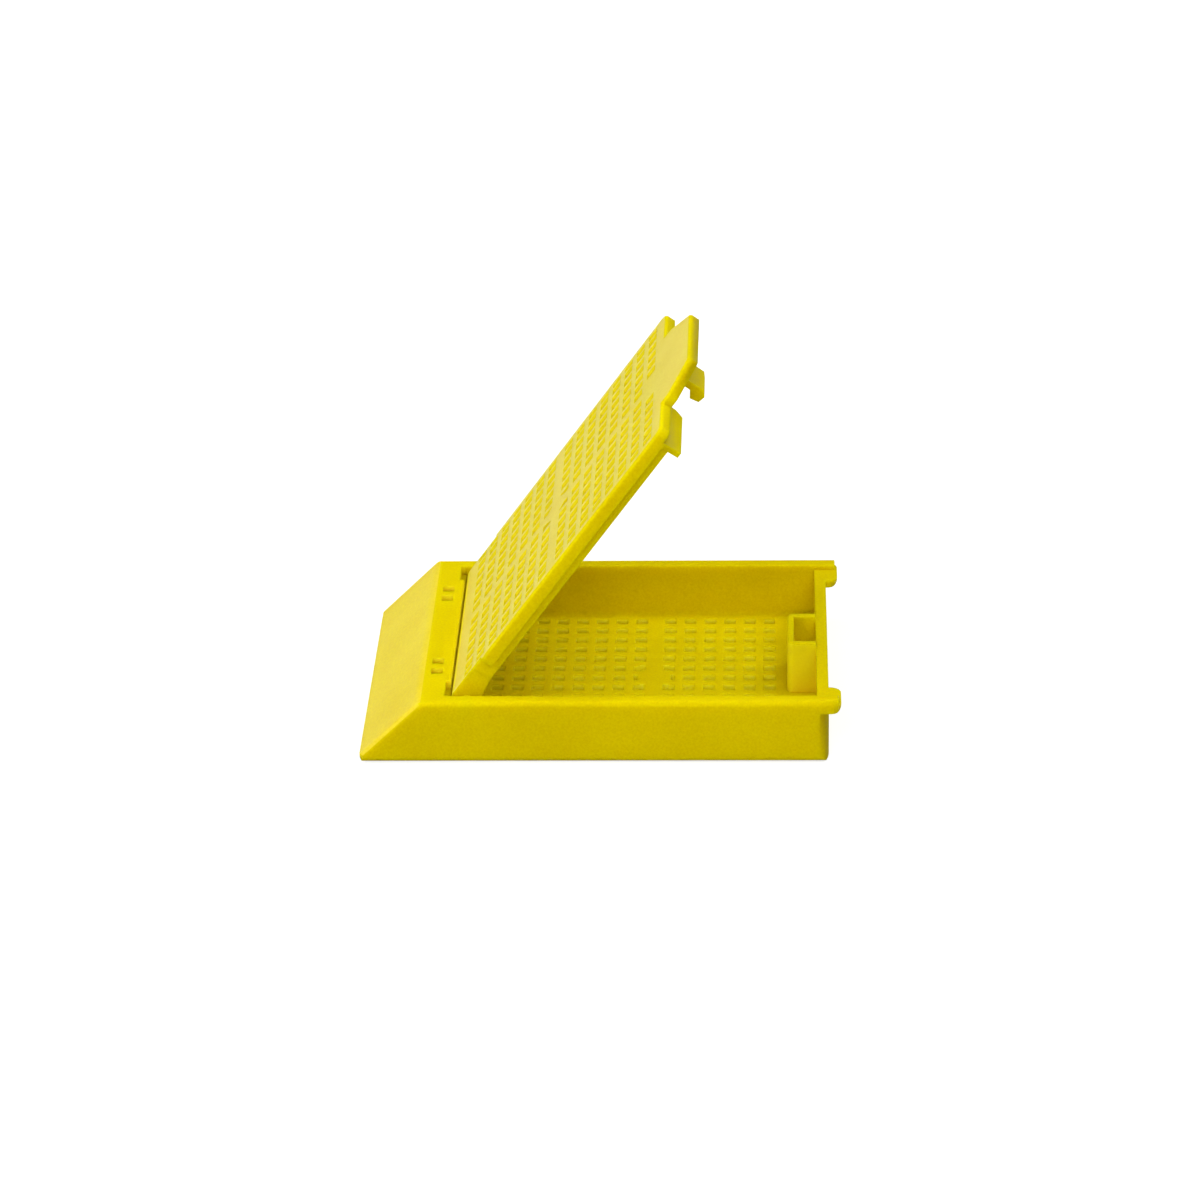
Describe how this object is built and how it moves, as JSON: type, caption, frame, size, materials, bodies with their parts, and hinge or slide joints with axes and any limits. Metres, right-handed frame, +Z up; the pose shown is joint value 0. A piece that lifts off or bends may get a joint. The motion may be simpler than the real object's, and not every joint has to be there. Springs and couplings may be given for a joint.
{
  "type": "tissue cassette",
  "caption": "Open perforated tray with a sloped writing face and a perforated lid that swings on moulded pins and snaps shut.",
  "frame": {"origin": "middle of the footprint, on the surface that the tray stands on", "axes": "+X along the tray from the writing slope to the latch, +Y across the tray, +Z up; the lid stands open by 54 degrees"},
  "size_m": [0.0412, 0.0286, 0.0336],
  "materials": {
    "tray": "satin moulded acetal, opaque yellow",
    "lid": "satin moulded acetal, opaque yellow"
  },
  "bodies": {
    "tray": {"base": "tray"},
    "lid": {"lid": "lid"}
  },
  "joints": [
    {"name": "lid_hinge", "type": "hinge", "parent": "tray", "child": "lid", "pos_m": [-0.01136, 0, 0.00497], "axis": [0, -1, 0], "range_deg": [-54, 44]}
  ]
}
